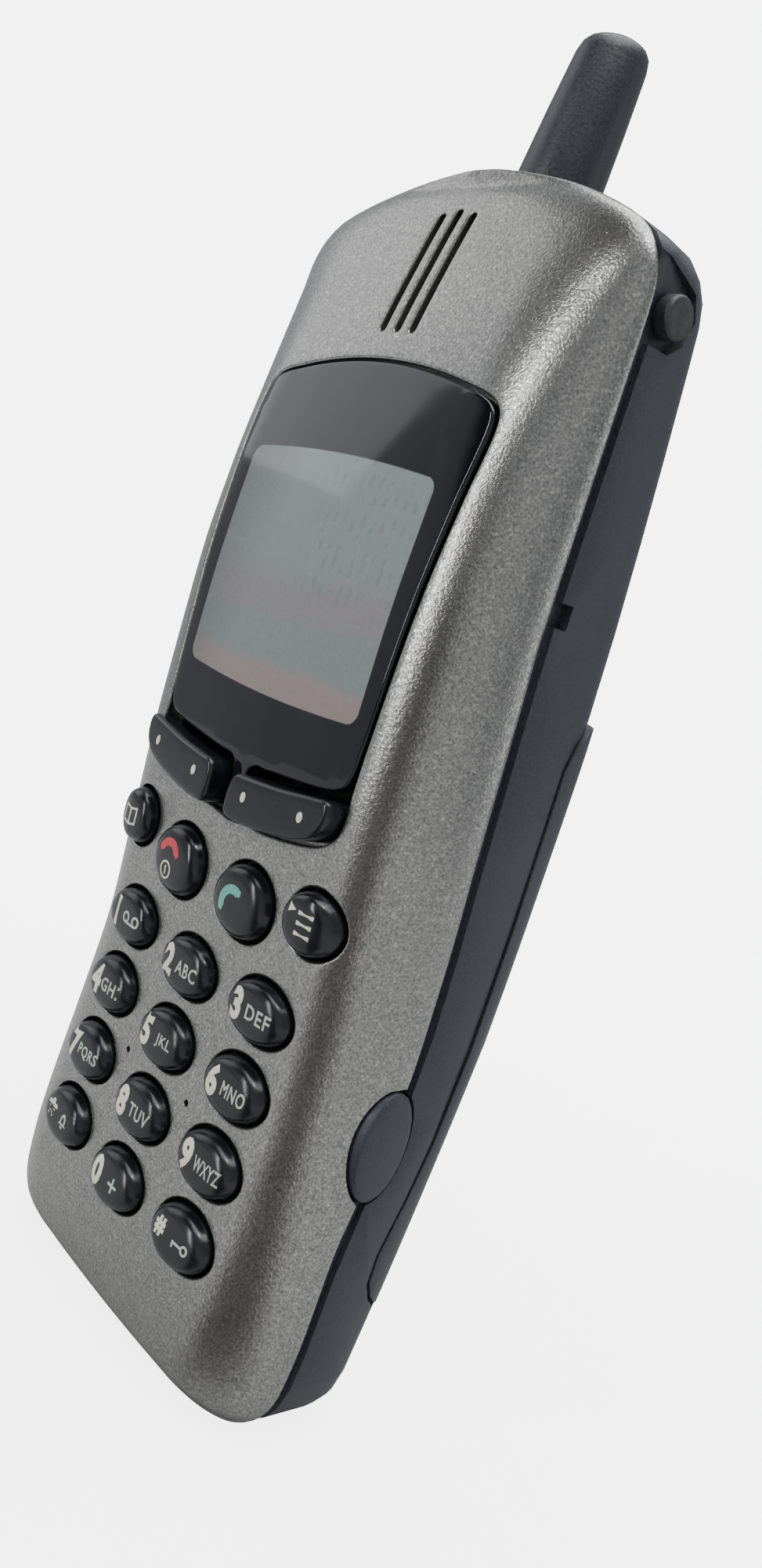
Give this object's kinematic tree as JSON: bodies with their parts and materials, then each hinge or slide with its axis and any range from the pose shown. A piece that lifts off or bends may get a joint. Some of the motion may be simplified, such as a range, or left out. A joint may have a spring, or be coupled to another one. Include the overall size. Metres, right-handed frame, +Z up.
{
  "type": "mobile phone",
  "caption": "Upright candybar mobile phone with a stub antenna, arched display window, oval keypad and a battery pack that lifts off the back.",
  "frame": {"origin": "centre of the bounding box on the plane of the flat bottom end", "axes": "+Z up along the body towards the antenna, +Y from the keypad to the battery, +X to the right of someone facing the keypad"},
  "size_m": [0.0481, 0.0252, 0.1332],
  "materials": {
    "silver_paint": "metallic grey paint over a fine grain",
    "dark_shell": "fine grain",
    "window": "polished black with a clear centre",
    "display": "reflective grey",
    "key_plastic": "glossy",
    "mat_rubber": "satin",
    "plug_rubber": "satin",
    "inner_plastic": "moulded",
    "light_guide": "milky",
    "board": "solder mask",
    "can_steel": "tinned",
    "cell_case": "satin",
    "sounder": "satin",
    "contact_brass": "plated",
    "screw_steel": "blackened"
  },
  "bodies": {
    "phone": {"front_shell": "silver_paint", "rear_shell": "dark_shell", "antenna_cover": "dark_shell", "display_window": "window", "lcd_glass": "display", "keypad_mat": "mat_rubber", "lcd_holder": "inner_plastic", "sim_holder": "inner_plastic", "system_connector": "inner_plastic", "battery_connector": "inner_plastic", "backlight": "light_guide", "main_board": "board", "shield_radio": "can_steel", "shield_logic": "can_steel", "shield_power": "can_steel", "backup_cell": "cell_case", "earpiece": "sounder", "microphone": "sounder", "ringer": "sounder", "antenna_rod": "contact_brass", "screw_1": "screw_steel", "screw_2": "screw_steel", "screw_3": "screw_steel", "screw_4": "screw_steel"},
    "key_1": {"key_1": "key_plastic"},
    "key_2": {"key_2": "key_plastic"},
    "key_3": {"key_3": "key_plastic"},
    "key_4": {"key_4": "key_plastic"},
    "key_5": {"key_5": "key_plastic"},
    "key_6": {"key_6": "key_plastic"},
    "key_7": {"key_7": "key_plastic"},
    "key_8": {"key_8": "key_plastic"},
    "key_9": {"key_9": "key_plastic"},
    "key_star": {"key_star": "key_plastic"},
    "key_0": {"key_0": "key_plastic"},
    "key_hash": {"key_hash": "key_plastic"},
    "key_phonebook": {"key_phonebook": "key_plastic"},
    "key_end": {"key_end": "key_plastic"},
    "key_call": {"key_call": "key_plastic"},
    "key_menu": {"key_menu": "key_plastic"},
    "softkey_left": {"softkey_left": "key_plastic"},
    "softkey_right": {"softkey_right": "key_plastic"},
    "release_left": {"release_left": "dark_shell"},
    "release_right": {"release_right": "dark_shell"},
    "socket_plug": {"socket_plug": "plug_rubber"},
    "battery": {"battery_cover": "dark_shell", "battery_base": "inner_plastic", "battery_cell_left": "cell_case", "battery_cell_right": "cell_case", "battery_circuit": "board"}
  },
  "joints": [
    {"name": "press_key_1", "type": "slide", "parent": "phone", "child": "key_1", "axis": [0, 1, 0], "range_m": [0, 0.0006], "stiffness_N_per_m": 1500},
    {"name": "press_key_2", "type": "slide", "parent": "phone", "child": "key_2", "axis": [0, 1, 0], "range_m": [0, 0.0006], "stiffness_N_per_m": 1500},
    {"name": "press_key_3", "type": "slide", "parent": "phone", "child": "key_3", "axis": [0, 1, 0], "range_m": [0, 0.0006], "stiffness_N_per_m": 1500},
    {"name": "press_key_4", "type": "slide", "parent": "phone", "child": "key_4", "axis": [0, 1, 0], "range_m": [0, 0.0006], "stiffness_N_per_m": 1500},
    {"name": "press_key_5", "type": "slide", "parent": "phone", "child": "key_5", "axis": [0, 1, 0], "range_m": [0, 0.0006], "stiffness_N_per_m": 1500},
    {"name": "press_key_6", "type": "slide", "parent": "phone", "child": "key_6", "axis": [0, 1, 0], "range_m": [0, 0.0006], "stiffness_N_per_m": 1500},
    {"name": "press_key_7", "type": "slide", "parent": "phone", "child": "key_7", "axis": [0, 1, 0], "range_m": [0, 0.0006], "stiffness_N_per_m": 1500},
    {"name": "press_key_8", "type": "slide", "parent": "phone", "child": "key_8", "axis": [0, 1, 0], "range_m": [0, 0.0006], "stiffness_N_per_m": 1500},
    {"name": "press_key_9", "type": "slide", "parent": "phone", "child": "key_9", "axis": [0, 1, 0], "range_m": [0, 0.0006], "stiffness_N_per_m": 1500},
    {"name": "press_key_star", "type": "slide", "parent": "phone", "child": "key_star", "axis": [0, 1, 0], "range_m": [0, 0.0006], "stiffness_N_per_m": 1500},
    {"name": "press_key_0", "type": "slide", "parent": "phone", "child": "key_0", "axis": [0, 1, 0], "range_m": [0, 0.0006], "stiffness_N_per_m": 1500},
    {"name": "press_key_hash", "type": "slide", "parent": "phone", "child": "key_hash", "axis": [0, 1, 0], "range_m": [0, 0.0006], "stiffness_N_per_m": 1500},
    {"name": "press_key_phonebook", "type": "slide", "parent": "phone", "child": "key_phonebook", "axis": [0, 1, 0], "range_m": [0, 0.0006], "stiffness_N_per_m": 1500},
    {"name": "press_key_end", "type": "slide", "parent": "phone", "child": "key_end", "axis": [0, 1, 0], "range_m": [0, 0.0006], "stiffness_N_per_m": 1500},
    {"name": "press_key_call", "type": "slide", "parent": "phone", "child": "key_call", "axis": [0, 1, 0], "range_m": [0, 0.0006], "stiffness_N_per_m": 1500},
    {"name": "press_key_menu", "type": "slide", "parent": "phone", "child": "key_menu", "axis": [0, 1, 0], "range_m": [0, 0.0006], "stiffness_N_per_m": 1500},
    {"name": "press_softkey_left", "type": "slide", "parent": "phone", "child": "softkey_left", "axis": [0, 1, 0], "range_m": [0, 0.0006], "stiffness_N_per_m": 1500},
    {"name": "press_softkey_right", "type": "slide", "parent": "phone", "child": "softkey_right", "axis": [0, 1, 0], "range_m": [0, 0.0006], "stiffness_N_per_m": 1500},
    {"name": "press_release_left", "type": "slide", "parent": "phone", "child": "release_left", "axis": [1, 0, 0], "range_m": [0, 0.0009], "stiffness_N_per_m": 1500},
    {"name": "press_release_right", "type": "slide", "parent": "phone", "child": "release_right", "axis": [-1, 0, 0], "range_m": [0, 0.0009], "stiffness_N_per_m": 1500},
    {"name": "pull_socket_plug", "type": "slide", "parent": "phone", "child": "socket_plug", "axis": [1, 0, 0], "range_m": [0, 0.008]},
    {"name": "lift_battery", "type": "slide", "parent": "phone", "child": "battery", "axis": [0, 1, 0], "range_m": [0, 0.025]}
  ]
}
